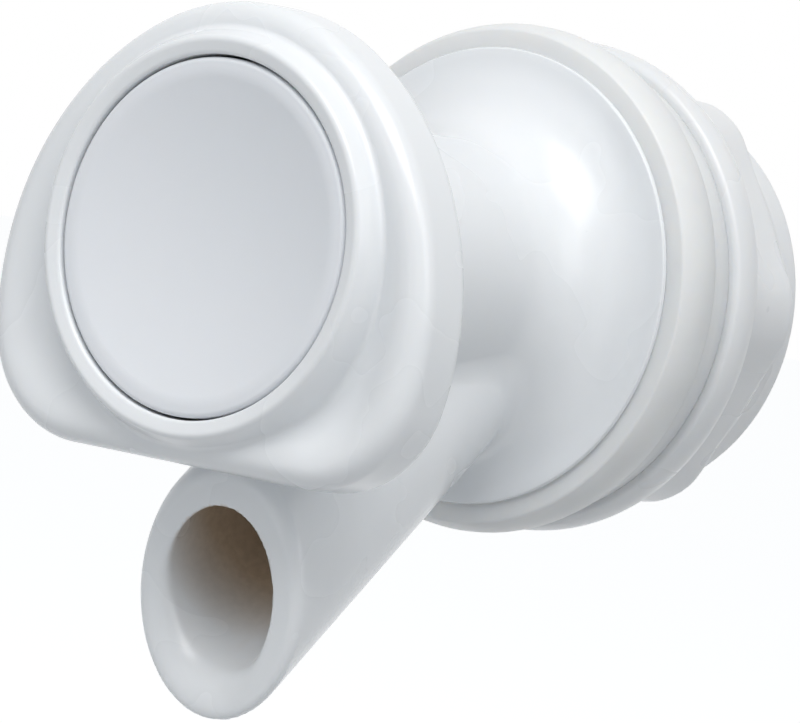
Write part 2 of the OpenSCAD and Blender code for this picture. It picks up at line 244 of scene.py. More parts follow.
def mouldedPlastic(name, look):
    paint = bpy.data.materials.new(name)
    paint.use_nodes = True
    tree = paint.node_tree
    tree.nodes.clear()
    where = nodeOf(tree, "ShaderNodeTexCoord").outputs["Object"]
    clouds = noiseOf(tree, where, look["cloudScale"]).outputs["Fac"]
    colour = blendOf(tree, rangeOf(tree, clouds, 0, 1), look["colour"], look["colourClouds"])
    # Painted shade: by the bore attribute read here, the colour turns to a darker warm brown inside the spout's
    # bore, standing in for the shade there
    if "paintedShadeColour" in look:
        depth = nodeOf(tree, "ShaderNodeAttribute", attribute_name="paintedBoreShade").outputs["Fac"]
        grain = noiseOf(tree, where, look["paintedShadeGrainScale"], 4.0).outputs["Fac"]
        boreShade = blendOf(tree, rangeOf(tree, grain, 0, 1), look["paintedShadeColour"], look["paintedShadeColourGrain"])
        colour = blendOf(tree, depth, colour, boreShade)
    flow = noiseOf(tree, where, look["sheenScale"], 2.0).outputs["Fac"]
    rough = rangeOf(tree, flow, look["rough"][0], look["rough"][1])
    fine = noiseOf(tree, where, look["grainScale"], 4.0).outputs["Fac"]
    wave = noiseOf(tree, where, look["waveScale"], 1.0).outputs["Fac"]
    waves = nodeOf(tree, "ShaderNodeBump",
                   {"Height": wave, "Strength": look["waveStrength"], "Distance": look["waveDepth"]})
    grains = nodeOf(tree, "ShaderNodeBump",
                    {"Height": fine, "Strength": look["grainStrength"], "Distance": look["grainDepth"],
                     "Normal": waves.outputs[0]})
    shader = nodeOf(tree, "ShaderNodeBsdfPrincipled", {
        "Base Color": colour, "Roughness": rough, "Normal": grains.outputs[0],
        "Subsurface Weight": look["milk"], "Subsurface Radius": look["milkRadius"],
        "Subsurface Scale": look["milkDepth"], "Specular IOR Level": look["gloss"],
        "Coat Weight": look["coat"], "Coat Roughness": look["coatRough"],
    })
    out = nodeOf(tree, "ShaderNodeOutputMaterial")
    tree.links.new(shader.outputs[0], out.inputs["Surface"])
    return paint


def springSteel(name, look):
    paint = bpy.data.materials.new(name)
    paint.use_nodes = True
    tree = paint.node_tree
    tree.nodes.clear()
    where = nodeOf(tree, "ShaderNodeTexCoord").outputs["Object"]
    clouds = noiseOf(tree, where, look["cloudScale"]).outputs["Fac"]
    colour = blendOf(tree, rangeOf(tree, clouds, 0, 1), look["colour"], look["colourClouds"])
    brush = noiseOf(tree, where, look["brushScale"], 5.0).outputs["Fac"]
    rough = rangeOf(tree, brush, look["rough"][0], look["rough"][1])
    scratches = nodeOf(tree, "ShaderNodeBump",
                       {"Height": brush, "Strength": look["brushStrength"], "Distance": look["brushDepth"]})
    shader = nodeOf(tree, "ShaderNodeBsdfPrincipled", {
        "Base Color": colour, "Metallic": 1.0, "Roughness": rough, "Normal": scratches.outputs[0]})
    out = nodeOf(tree, "ShaderNodeOutputMaterial")
    tree.links.new(shader.outputs[0], out.inputs["Surface"])
    return paint


whitePlastic = {
    "colour": (0.84, 0.86, 0.88, 1), "colourClouds": (0.835, 0.856, 0.877, 1), "cloudScale": 60,
    # painted shade for the spout's bore: a darker warm brown with a fine random grain, standing in for the shade
    # inside it
    "paintedShadeColour": (0.66, 0.53, 0.40, 1), "paintedShadeColourGrain": (0.58, 0.46, 0.34, 1), "paintedShadeGrainScale": 1500,
    "rough": (0.22, 0.30), "sheenScale": 90, "grainScale": 2200, "grainStrength": 0.12, "grainDepth": 0.00002,
    "waveScale": 110, "waveStrength": 0.03, "waveDepth": 0.00005,
    "milk": 0.12, "milkRadius": (1.0, 0.85, 0.7), "milkDepth": 0.0012, "gloss": 0.5,
    "coat": 0.12, "coatRough": 0.12,
}
buttonPlastic = dict(whitePlastic, colour=(0.82, 0.84, 0.875, 1), colourClouds=(0.81, 0.835, 0.872, 1),
                     rough=(0.34, 0.42), grainStrength=0.22, coat=0.0)
buttonPlastic.pop("paintedShadeColour")
hiddenPlastic = dict(buttonPlastic, colour=(0.80, 0.80, 0.78, 1), colourClouds=(0.76, 0.76, 0.74, 1))
nutPlastic = dict(buttonPlastic, colour=(0.80, 0.81, 0.82, 1), colourClouds=(0.77, 0.785, 0.80, 1),
                  rough=(0.26, 0.36), milk=0.35, milkDepth=0.0025, coat=0.10)
gasketRubber = dict(buttonPlastic, colour=(0.80, 0.81, 0.81, 1), colourClouds=(0.775, 0.785, 0.79, 1),
                    rough=(0.38, 0.52), cloudScale=180, milk=0.45, milkDepth=0.003, grainStrength=0.3,
                    waveStrength=0.12)
sealRubber = dict(gasketRubber, colour=(0.62, 0.62, 0.60, 1), colourClouds=(0.56, 0.56, 0.54, 1))
ringRubber = dict(gasketRubber, colour=(0.03, 0.03, 0.032, 1), colourClouds=(0.04, 0.04, 0.042, 1), milk=0.0)
steelWire = {"colour": (0.60, 0.60, 0.61, 1), "colourClouds": (0.52, 0.52, 0.53, 1), "cloudScale": 300,
             "rough": (0.22, 0.38), "brushScale": 2500, "brushStrength": 0.2, "brushDepth": 0.00002}

paints = {
    "body_plastic": mouldedPlastic("CoolWhitePlastic", whitePlastic),
    "button_plastic": mouldedPlastic("ButtonPlastic", buttonPlastic),
    "stem_plastic": mouldedPlastic("StemPlastic", hiddenPlastic),
    "nut_plastic": mouldedPlastic("MilkyNutPlastic", nutPlastic),
    "gasket_rubber": mouldedPlastic("MilkyGasketRubber", gasketRubber),
    "seal_rubber": mouldedPlastic("SealRubber", sealRubber),
    "o_ring_rubber": mouldedPlastic("RingRubber", ringRubber),
    "steel": springSteel("SpringSteel", steelWire),
}
print("materials ready")

# Shape tools. A shape is a function that gives how far a point lies outside it, in millimetres


def roundUnion(a, b, radius):
    # both shapes, with a fillet where they meet
    return np.maximum(radius, np.minimum(a, b)) - np.hypot(np.maximum(radius - a, 0), np.maximum(radius - b, 0))


def roundCommon(a, b, radius):
    # what lies in both shapes, with the edge between them rounded
    return np.minimum(-radius, np.maximum(a, b)) + np.hypot(np.maximum(radius + a, 0), np.maximum(radius + b, 0))


def lineSide(r, y, start, end):
    # how far a point lies to the right of the line from start to end
    along = np.array([end[0] - start[0], end[1] - start[1]])
    along = along / np.hypot(*along)
    return (r - start[0]) * along[1] - (y - start[1]) * along[0]


def slopesOf(shape, points, step):
    slopes = np.empty_like(points)
    for axis in range(3):
        shift = np.zeros(3)
        shift[axis] = step
        slopes[:, axis] = (shape(*(points + shift).T) - shape(*(points - shift).T)) / (2 * step)
    return slopes


def gradedLines(stations):
    # grid lines through (place, spacing) stations, with the spacing changing evenly between them
    lines = [stations[0][0]]
    for (start, first), (end, last) in zip(stations, stations[1:]):
        steps = np.linspace(first, last, max(1, round(2 * (end - start) / (first + last))))
        lines += list(lines[-1] + np.cumsum(steps) * (end - start) / steps.sum())
    return np.array(lines)


def skinOf(shape, radii, angles, places, rounds=4):
    # the surface of a shape, on a grid that runs round the main axis: points, outward normals and four-sided faces
    turns = np.radians(angles)
    flatR, flatY = np.meshgrid(radii, places, indexing="ij")
    field = np.stack([shape(flatR * math.cos(t), flatY, flatR * math.sin(t)) for t in turns], axis=1)
    field = np.concatenate([field, field[:, :1]], axis=1)
    inside = field < 0
    nr, na, ny = len(radii), len(angles), len(places)
    offsets = [(i, j, k) for i in (0, 1) for j in (0, 1) for k in (0, 1)]
    views = [inside[i:nr - 1 + i, j:na + j, k:ny - 1 + k] for i, j, k in offsets]
    crossed = np.any(views, axis=0) & ~np.all(views, axis=0)
    cells = np.argwhere(crossed)
    number = np.full(crossed.shape, -1)
    number[crossed] = np.arange(len(cells))
    values = np.stack([field[cells[:, 0] + i, cells[:, 1] + j, cells[:, 2] + k] for i, j, k in offsets], axis=1)
    total = np.zeros((len(cells), 3))
    count = np.zeros(len(cells))
    for a, start in enumerate(offsets):
        for b, end in enumerate(offsets):
            if b > a and sum(abs(p - q) for p, q in zip(start, end)) == 1:
                change = (values[:, a] < 0) != (values[:, b] < 0)
                gap = np.where(change, values[:, a] - values[:, b], 1)
                share = np.where(change, values[:, a] / gap, 0)
                spot = np.array(start) + share[:, None] * (np.array(end) - np.array(start))
                total += spot * change[:, None]
                count += change
    spot = total / count[:, None]
    turns = np.append(turns, turns[0] + 2 * math.pi)

    def onLines(lines, axis):
        low = lines[cells[:, axis]]
        return low + spot[:, axis] * (lines[cells[:, axis] + 1] - low)

    r, turn, y = onLines(radii, 0), onLines(turns, 1), onLines(places, 2)
    points = np.stack([r * np.cos(turn), y, r * np.sin(turn)], axis=1)
    for _ in range(rounds):  # each round moves the points onto the true surface
        away = shape(*points.T)
        slopes = slopesOf(shape, points, 0.02)
        move = slopes * (away / np.maximum((slopes ** 2).sum(1), 0.3))[:, None]
        points -= np.clip(move, -0.15, 0.15)
    normals = slopesOf(shape, points, 0.06)
    normals /= np.maximum(np.linalg.norm(normals, axis=1), 1e-9)[:, None]
    before = np.roll(number, 1, axis=1)
    families = [
        (inside[:-1, :-1, 1:-1], inside[1:, :-1, 1:-1],
         [before[:, :, :-1], number[:, :, :-1], number[:, :, 1:], before[:, :, 1:]]),
        (inside[1:-1, :-1, 1:-1], inside[1:-1, 1:, 1:-1],
         [number[:-1, :, :-1], number[1:, :, :-1], number[1:, :, 1:], number[:-1, :, 1:]]),
        (inside[1:-1, :-1, :-1], inside[1:-1, :-1, 1:],
         [before[:-1], before[1:], number[1:], number[:-1]]),
    ]
    faces = []
    for first, second, corners in families:
        change = first != second
        quads = np.stack([c[change] for c in corners], axis=1)
        turned = first[change]
        quads[turned] = quads[turned][:, ::-1]
        across = np.cross(points[quads[:, 2]] - points[quads[:, 0]], points[quads[:, 3]] - points[quads[:, 1]])
        if (across * normals[quads[:, 0]]).sum() < 0:
            quads = quads[:, ::-1]
        faces.append(quads)
    return points, normals, np.concatenate(faces)


def meshPiece(name, points, normals, faces, slot):
    mesh = bpy.data.meshes.new(name)
    mesh.from_pydata((np.asarray(points) * mm).tolist(), [], [list(map(int, f)) for f in faces])
    mesh.shade_smooth()
    if normals is not None:
        mesh.normals_split_custom_set_from_vertices(np.asarray(normals).tolist())
    mesh.materials.append(paints[slot])
    piece = bpy.data.objects.new(name, mesh)
    scene.collection.objects.link(piece)
    return piece


def settle(piece, body, slot, *nodes):
    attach(piece, body)
    if nodes:
        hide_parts(*nodes)
    mesh = piece.data
    mesh.calc_loop_triangles()
    print("made", piece.name, "with", len(mesh.loop_triangles), "triangles")


# The one moulding: finger plate, bezel, cup, barrel, spout and flange

plateSizes = {
    "topRadius": 18.4, "sideRadius": 24.3, "sideFrom": 60, "drop": 17.5, "cornerRadius": 9.4,
    "rimY": -38.65, "backY": -33.0, "frontRound": 1.6, "backRound": 1.1, "rimWidth": 2.6,
    "dishDepth": 1.2, "dishWidth": 5.0, "wall": 2.3, "innerRound": 0.6,
}
bezelSizes = {
    "innerRadius": 14.05, "landY": -40.12, "crestRadius": 15.4, "crestY": -40.42, "outerRadius": 16.45,
    "slopeEndY": -38.3, "crestRound": 0.35, "footRound": 0.6, "plateFillet": 0.5,
}
barrelSizes = {
    "radius": 10.5, "cupRadius": 16.2, "cupEndY": -31.4, "shoulderEndY": -26.8, "cupRound": 1.6,
    "shoulderFillet": 3.0, "flangeRadius": 18.4, "flangeFrontY": -5.0, "flangeBackY": -4.5, "flare": 7.0,
    "edgeRound": 0.16, "stubRadius": 12.3, "stubEndY": -2.0,
}
spoutSizes = {
    "mouthY": -31.2, "mouthZ": -27.4, "angle": 43.2, "lean": 6.8, "radius": 8.2, "run": 30.8, "endY": -4.8,
    "mouthRound": 0.95, "boreRadius": 5.55, "boreLength": 14.0, "waterwayRadius": 5.2, "boreRun": 35.4,
    "sharpLip": 0.25, "roundLip": 1.5, "fillet": 1.1, "webFillet": 1.7,
    "webMiddle": (0, -32.4, -15.1), "webHalf": (4.1, 2.2, 1.3), "webRound": 0.4,
}
cavitySizes = {
    "wellRadius": 14.05, "wellFloorY": -32.2, "springRadius": 7.4, "glandY": -25.4, "ringRadius": 4.4,
    "guideY": -23.5, "guideRadius": 2.56, "chamberRadius": 7.9, "chamberY": -21.1, "wellEdge": 0.22,
}


def plateInset(x, z):
    # how far a point lies in from the plate's edge, as seen from the front
    s = plateSizes
    x = np.abs(x)
    turn = math.radians(s["sideFrom"])
    back = s["topRadius"] - s["sideRadius"]
    sideX, sideZ = back * math.cos(turn), back * math.sin(turn)
    cornerZ = s["cornerRadius"] - s["drop"]
    reach = s["sideRadius"] - s["cornerRadius"]
    cornerX = sideX + math.sqrt(reach ** 2 - (cornerZ - sideZ) ** 2)
    top = s["topRadius"] - np.hypot(x, z)
    side = s["sideRadius"] - np.hypot(x - sideX, z - sideZ)
    corner = s["cornerRadius"] - np.hypot(x - cornerX, z - cornerZ)
    bottom = z + s["drop"]
    inTop = z * math.cos(turn) > x * math.sin(turn)
    inSide = (cornerX - sideX) * (z - sideZ) > (cornerZ - sideZ) * (x - sideX)
    return np.where(inTop, top, np.where(inSide, side, np.where(x > cornerX, corner, bottom)))


def fingerPlate(x, y, z):
    s = plateSizes
    inset = plateInset(x, z)
    fall = np.clip((inset - s["frontRound"]) / s["dishWidth"], 0, 1)
    frontY = s["rimY"] + s["dishDepth"] * (1 - np.cos(math.pi * fall)) / 2
    steep = s["dishDepth"] * math.pi / (2 * s["dishWidth"]) * np.sin(math.pi * fall)
    front = (frontY - y) / np.sqrt(1 + steep ** 2)
    slab = roundCommon(front, -inset, s["frontRound"])
    slab = roundCommon(slab, y - s["backY"], s["backRound"])
    innerY = s["rimY"] + s["dishDepth"] + s["wall"]
    recess = roundCommon(s["rimWidth"] - inset, innerY - y, s["innerRound"])
    return roundCommon(slab, -recess, 0.4)


def raisedBezel(r, y):
    s = bezelSizes
    crest = (s["crestRadius"], s["crestY"])
    land = lineSide(r, y, (s["innerRadius"], s["landY"]), crest)
    outer = lineSide(r, y, crest, (s["outerRadius"], s["slopeEndY"]))
    ridge = roundCommon(land, outer, s["crestRound"])
    ridge = roundCommon(ridge, r - s["outerRadius"], s["footRound"])
    return np.maximum(ridge, y - plateSizes["rimY"] - 2.6)


def barrelAndFlange(r, y):
    s = barrelSizes
    disc = roundCommon(s["flangeFrontY"] - y, r - s["flangeRadius"], s["edgeRound"])
    trumpet = roundUnion(r - s["radius"], disc, s["flare"])
    trumpet = roundCommon(trumpet, y - s["flangeBackY"], 0.08)
    stub = np.maximum(r - s["stubRadius"], np.maximum(y - s["stubEndY"], s["flangeFrontY"] - 1 - y))
    return np.minimum(trumpet, stub)


def buttonCup(r, y):
    s = barrelSizes
    shoulder = lineSide(r, y, (s["cupRadius"], s["cupEndY"]), (s["radius"], s["shoulderEndY"]))
    cup = roundCommon(r - s["cupRadius"], shoulder, s["cupRound"])
    return np.maximum(cup, plateSizes["rimY"] + 2.2 - y)


def spoutFrame(x, y, z):
    # a point's distance up the spout from the mouth's middle, from its axis, and ahead of the mouth's face
    s = spoutSizes
    angle, lean = math.radians(s["angle"]), math.radians(s["lean"])
    dy, dz = y - s["mouthY"], z - s["mouthZ"]
    along = dy * math.cos(angle) + dz * math.sin(angle)
    out = np.sqrt(x ** 2 + (dy - along * math.cos(angle)) ** 2 + (dz - along * math.sin(angle)) ** 2)
    ahead = -dy * math.cos(lean) - dz * math.sin(lean)
    return along, out, ahead


def spoutTube(x, y, z):
    s = spoutSizes
    along, out, ahead = spoutFrame(x, y, z)
    tube = roundCommon(out - s["radius"], ahead, s["mouthRound"])
    tube = np.maximum(tube, np.maximum(y - s["endY"], along - s["run"]))
    gaps = [np.abs(v - m) - h + s["webRound"] for v, m, h in zip((x, y, z), s["webMiddle"], s["webHalf"])]
    beyond = np.sqrt(sum(np.maximum(g, 0) ** 2 for g in gaps))
    web = beyond + np.minimum(np.maximum.reduce(gaps), 0) - s["webRound"]
    return roundUnion(tube, web, s["webFillet"])


def spoutBore(x, y, z):
    s = spoutSizes
    along, out, _ = spoutFrame(x, y, z)
    bore = np.maximum(out - s["boreRadius"], along - s["boreLength"])
    return np.minimum(bore, np.maximum(out - s["waterwayRadius"], along - s["boreRun"]))


def bodyCavity(r, y):
    s = cavitySizes
    well = np.maximum(r - s["wellRadius"], y - s["wellFloorY"])
    pocket = np.maximum(r - s["springRadius"], y - s["glandY"])
    ringPocket = np.maximum(r - s["ringRadius"], y - s["guideY"])
    chamber = np.maximum(r - s["chamberRadius"], s["chamberY"] - y)
    return np.minimum.reduce([well, pocket, ringPocket, chamber, r - s["guideRadius"]])


def spigotBody(x, y, z):
    r = np.hypot(x, z)
    front = roundUnion(fingerPlate(x, y, z), raisedBezel(r, y), bezelSizes["plateFillet"])
    front = roundUnion(front, buttonCup(r, y), 0.8)
    whole = roundUnion(front, barrelAndFlange(r, y), barrelSizes["shoulderFillet"])
    whole = roundUnion(whole, spoutTube(x, y, z), spoutSizes["fillet"])
    whole = roundCommon(whole, -bodyCavity(r, y), cavitySizes["wellEdge"])
    s = spoutSizes
    along = spoutFrame(x, y, z)[0]
    lowLeft = (-0.6 * x - 0.8 * (z - s["mouthZ"])) / s["radius"]
    soft = np.clip(lowLeft + 0.25, 0, 1) * np.clip((12 - along) / 6, 0, 1)
    lip = s["sharpLip"] + s["roundLip"] * soft * soft * (3 - 2 * soft)
    return roundCommon(whole, -spoutBore(x, y, z), lip)


bodyGrid = {
    "mostTriangles": 192000,
    "radii": [(1.6, 0.5), (4.2, 0.4), (7.2, 0.4), (8.2, 0.35), (10.4, 0.4), (13.6, 0.4), (13.9, 0.18),
              (16.8, 0.2), (18.1, 0.28), (18.6, 0.16), (19.2, 0.28), (24.2, 0.32), (38.3, 0.32)],
    "angles": [(-90, 0.6), (-72, 0.6), (-50, 1.1), (230, 1.1), (252, 0.6), (270, 0.6)],
    "places": [(-40.9, 0.25), (-40.5, 0.14), (-39.8, 0.16), (-38.2, 0.22), (-37, 0.26), (-33.4, 0.3),
               (-32.6, 0.22), (-31.9, 0.25), (-30, 0.42), (-13, 0.48), (-8, 0.36), (-5.4, 0.2),
               (-5.1, 0.1), (-4.4, 0.1), (-3.9, 0.4), (-1.6, 0.5)],
}


def gridOf(lines):
    return gradedLines(lines["radii"]), gradedLines(lines["angles"])[:-1], gradedLines(lines["places"])


def thinOut(piece, shape, most):
    # fewer triangles, mostly where the surface is flat, with the true surface's normals
    piece.data.calc_loop_triangles()
    modifier = piece.modifiers.new("thin", "DECIMATE")
    modifier.ratio = most / len(piece.data.loop_triangles)
    made = bpy.data.meshes.new_from_object(piece.evaluated_get(bpy.context.evaluated_depsgraph_get()))
    piece.modifiers.clear()
    piece.data = made
    made.name = piece.name
    spots = np.zeros(len(made.vertices) * 3)
    made.vertices.foreach_get("co", spots)
    points = spots.reshape(-1, 3) / mm
    normals = slopesOf(shape, points, 0.06)
    normals /= np.maximum(np.linalg.norm(normals, axis=1), 1e-9)[:, None]
    made.shade_smooth()
    made.normals_split_custom_set_from_vertices(normals.tolist())
    return points


def addBody():
    points, _, faces = skinOf(spigotBody, *gridOf(bodyGrid))
    body = meshPiece("SpigotBody", points, None, faces, "body_plastic")
    points = thinOut(body, spigotBody, bodyGrid["mostTriangles"])
    # painted shade amount: 0 near the mouth, rising to 1 between 1 mm and 7 mm up the spout, only on points within
    # the bore's radius
    along, out, _ = spoutFrame(*points.T)
    boreShade = np.clip((along - 1.0) / 6, 0, 1) * (out < spoutSizes["boreRadius"] + 0.1)
    depth = body.data.attributes.new("paintedBoreShade", "FLOAT", "POINT")
    depth.data.foreach_set("value", boreShade.astype(np.float32))
    settle(body, "spigot", "body_plastic", "spigot_body")


addBody()

# Turned pieces: a section with rounded corners, spun about the main axis


def roundedSection(corners, closed):
    # corners are (radius, place, rounding); gives points and outward normals round the section
    spots = np.array([c[:2] for c in corners], float)
    area = (spots[:, 0] * np.roll(spots[:, 1], -1) - np.roll(spots[:, 0], -1) * spots[:, 1]).sum()
    if area < 0:
        corners = corners[::-1]
        spots = spots[::-1]
    count = len(corners)
    sides = np.roll(spots, -1, axis=0) - spots  # the side that leaves each corner
    if not closed:
        sides[-1] = sides[-2]
    lengths = np.hypot(*sides.T)
    ways = sides / lengths[:, None]
    bends, wants = [], []
    for i in range(count):
        coming = ways[i] if not closed and i == 0 else ways[i - 1]
        going = ways[i]
        bends.append(math.atan2(coming[0] * going[1] - coming[1] * going[0], coming @ going))
        wants.append(corners[i][2] * math.tan(abs(bends[i]) / 2))
    section = []
    for i, (r, y, rounding) in enumerate(corners):
        bend = bends[i]
        coming = ways[i] if not closed and i == 0 else ways[i - 1]
        normal = np.array([coming[1], -coming[0]])
        if rounding == 0 or abs(bend) < 1e-4:
            half = bend / 2
            section.append((r, y, normal[0] * math.cos(half) - normal[1] * math.sin(half),
                            normal[0] * math.sin(half) + normal[1] * math.cos(half)))
            continue
        room = [0.98 * lengths[i - 1] / (wants[i - 1] + wants[i]),
                0.98 * lengths[i] / (wants[i] + wants[(i + 1) % count])]
        reach = wants[i] * min(1, *room)  # two roundings on one side share its length
        radius = math.copysign(reach / math.tan(abs(bend) / 2), bend)
        middle = spots[i] - coming * reach - normal * radius
        steps = max(3, math.ceil(math.degrees(abs(bend)) / 10))
        for k in range(steps + 1):
            turn = bend * k / steps
            nr = normal[0] * math.cos(turn) - normal[1] * math.sin(turn)
            ny = normal[0] * math.sin(turn) + normal[1] * math.cos(turn)
            section.append((middle[0] + nr * radius, middle[1] + ny * radius, nr, ny))
    return section


def turnedMesh(corners, segments=192, closed=True):
    section = roundedSection(corners, closed)
    points, normals, rings = [], [], []
    turns = np.linspace(0, 2 * math.pi, segments, endpoint=False)
    for r, y, nr, ny in section:
        if r < 1e-6:
            rings.append([len(points)] * segments)
            points.append((0, y, 0))
            normals.append((0, math.copysign(1, ny), 0))
            continue
        rings.append(list(range(len(points), len(points) + segments)))
        points += [(r * math.cos(t), y, r * math.sin(t)) for t in turns]
        normals += [(nr * math.cos(t), ny, nr * math.sin(t)) for t in turns]
    faces = []
    last = len(rings) if closed else len(rings) - 1
    for i in range(last):
        one, two = rings[i], rings[(i + 1) % len(rings)]
        for j in range(segments):
            k = (j + 1) % segments
            corner = [one[j], one[k], two[k], two[j]]
            face = [v for n, v in enumerate(corner) if v not in corner[:n]]
            if len(face) > 2:
                faces.append(face)
    spots = np.array(points)
    outward = np.array(normals)
    sample = np.array([f[:3] for f in faces])
    across = np.cross(spots[sample[:, 1]] - spots[sample[:, 0]], spots[sample[:, 2]] - spots[sample[:, 0]])
    if (across * outward[sample[:, 0]]).sum() < 0:
        faces = [f[::-1] for f in faces]
    return points, normals, faces


def addTurned(name, body, slot, node, corners, segments=192, closed=True):
    piece = meshPiece(name, *turnedMesh(corners, segments, closed), slot)
    settle(piece, body, slot, node)
    return piece


# Button: a cap with a thumb dish, a skirt and the socket for the stem
buttonSizes = {
    "frontY": -40.0, "radius": 13.85, "skirtEndY": -37.0, "edgeRound": 0.4, "wall": 1.6, "dishRadius": 12.65,
    "dishDepth": 1.5, "dishSteps": 28, "dishBlend": 6.0, "bossRadius": 4.2, "bossEndY": -31.7,
    "stemRadius": 2.5, "stemTopY": -36.9, "padRadius": 6.6,
}


def addButton(s):
    ball = (s["dishRadius"] ** 2 + s["dishDepth"] ** 2) / (2 * s["dishDepth"])
    ballY = s["frontY"] + s["dishDepth"] - ball
    reach = np.linspace(0, s["dishRadius"], s["dishSteps"] + 1)
    dish = [(r, ballY + math.sqrt(ball ** 2 - r ** 2), 0) for r in reach]
    dish[-1] = (s["dishRadius"], s["frontY"], s["dishBlend"])
    inner = s["radius"] - s["wall"]
    behind = ball + s["wall"]
    back = [(r, ballY + math.sqrt(behind ** 2 - r ** 2), 0) for r in np.linspace(inner, s["padRadius"], 12)]
    corners = dish + [
        (s["radius"], s["frontY"], s["edgeRound"]),
        (s["radius"], s["skirtEndY"], 0.25), (inner, s["skirtEndY"], 0.25), (inner, back[0][1], 0.4),
        *back[1:-1],
        (s["padRadius"], s["stemTopY"], 0.15), (s["bossRadius"], s["stemTopY"], 0.3),
        (s["bossRadius"], s["bossEndY"], 0.3), (s["stemRadius"], s["bossEndY"], 0.2),
        (s["stemRadius"], s["stemTopY"], 0.1), (0, s["stemTopY"], 0),
    ]
    addTurned("PushButton", "plunger", "button_plastic", "button", corners, 256, closed=False)


addButton(buttonSizes)

# Gaskets: soft rings whose rims bulge where the flange and the nut squeeze them
gasketSizes = {
    "FrontGasket": {"node": "front_gasket", "body": "spigot", "radius": 20.5, "fromY": -4.5, "toY": 0.0},
    "RearGasket": {"node": "rear_gasket", "body": "washer_carriage", "radius": 19.2, "fromY": 0.0, "toY": 3.3},
}
gasketRim = {"bulge": 4.5, "hole": 12.6, "edge": 0.3}


def addGasket(name, s, rim):
    half = (s["toY"] - s["fromY"]) / 2
    middle = (s["toY"] + s["fromY"]) / 2
    tilt = math.asin(half / rim["bulge"])
    edge = s["radius"] - rim["bulge"] * (1 - math.cos(tilt))
    peak = s["radius"] - rim["bulge"] + rim["bulge"] / math.cos(tilt)
    corners = [
        (rim["hole"], s["fromY"], 0.2), (edge, s["fromY"], rim["edge"]), (peak, middle, rim["bulge"]),
        (edge, s["toY"], rim["edge"]), (rim["hole"], s["toY"], 0.2),
    ]
    addTurned(name, s["body"], "gasket_rubber", s["node"], corners, 256)


for name, sizes in gasketSizes.items():
    addGasket(name, sizes, gasketRim)

# Lock nut: a bulging flange, a hexagon with soft corners and a round hub
nutSizes = {
    "frontY": 3.3, "flangeEndY": 6.3, "flangeRadius": 20.0, "rimRound": 3.0, "halfFlats": 16.55,
    "flatsFrom": 32, "cornerRadius": 18.4, "cornerRound": 2.4, "hexEndY": 14.0, "hubEndY": 17.2,
    "hubRadius": 16.1, "boreRadius": 12.9, "edge": 0.7, "fillet": 0.8,
}


def lockNut(x, y, z):
    s = nutSizes
    r = np.hypot(x, z)
    half = (s["flangeEndY"] - s["frontY"]) / 2
    rim = np.hypot(np.maximum(r - s["flangeRadius"] + s["rimRound"], 0), y - s["frontY"] - half) - s["rimRound"]
    flange = roundCommon(rim, np.abs(y - s["frontY"] - half) - half, 0.3)
    hexagon = None
    for k in range(3):
        turn = math.radians(s["flatsFrom"] + 60 * k)
        flat = np.abs(x * math.cos(turn) + z * math.sin(turn)) - s["halfFlats"]
        hexagon = flat if hexagon is None else roundCommon(hexagon, flat, s["cornerRound"])
    hexagon = roundCommon(hexagon, r - s["cornerRadius"], 1.0)
    hexagon = roundCommon(hexagon, y - s["hexEndY"], s["edge"])
    hexagon = np.maximum(hexagon, s["frontY"] + 0.4 - y)
    hub = roundCommon(r - s["hubRadius"], y - s["hubEndY"], s["edge"])
    hub = np.maximum(hub, s["frontY"] + 0.4 - y)
    nut = roundUnion(roundUnion(flange, hexagon, s["fillet"]), hub, s["fillet"])
    return roundCommon(nut, s["boreRadius"] - r, 0.15)


nutGrid = {
    "radii": [(12.5, 0.2), (13.2, 0.25), (15.4, 0.35), (15.9, 0.25), (20.3, 0.24)],
    "angles": [(-90, 1.0), (270, 1.0)],
    "places": [(2.9, 0.2), (3.5, 0.15), (6.1, 0.2), (6.9, 0.2), (8, 0.35), (13, 0.35), (13.4, 0.2),
               (14.6, 0.2), (16.2, 0.3), (16.6, 0.18), (17.5, 0.18)],
}


def addNut():
    points, normals, faces = skinOf(lockNut, *gridOf(nutGrid))
    settle(meshPiece("LockNut", points, normals, faces, "nut_plastic"), "nut", "nut_plastic", "lock_nut")


addNut()

# Threads: a tree that moves points in towards the axis along a helix


def newTree(name, inputs):
    tree = bpy.data.node_groups.new(name, "GeometryNodeTree")
    tree.interface.new_socket("Geometry", in_out="INPUT", socket_type="NodeSocketGeometry")
    for label, value in inputs.items():
        kind = "NodeSocketMaterial" if value is None else "NodeSocketFloat"
        socket = tree.interface.new_socket(label, in_out="INPUT", socket_type=kind)
        if value is not None:
            socket.default_value = value
    tree.interface.new_socket("Geometry", in_out="OUTPUT", socket_type="NodeSocketGeometry")
    start = tree.nodes.new("NodeGroupInput")
    end = tree.nodes.new("NodeGroupOutput")
    return tree, start.outputs, end.inputs


def mathOf(tree, operation, *values, clamp=False):
    node = tree.nodes.new("ShaderNodeMath")
    node.operation = operation
    node.use_clamp = clamp
    for i, value in enumerate(values):
        if isinstance(value, bpy.types.NodeSocket):
            tree.links.new(value, node.inputs[i])
        else:
            node.inputs[i].default_value = value
    return node.outputs[0]


def finishTree(tree, geometry, paint, end):
    real = nodeOf(tree, "GeometryNodeRealizeInstances", {"Geometry": geometry})
    painted = nodeOf(tree, "GeometryNodeSetMaterial", {"Geometry": real.outputs[0], "Material": paint})
    tree.links.new(painted.outputs[0], end["Geometry"])


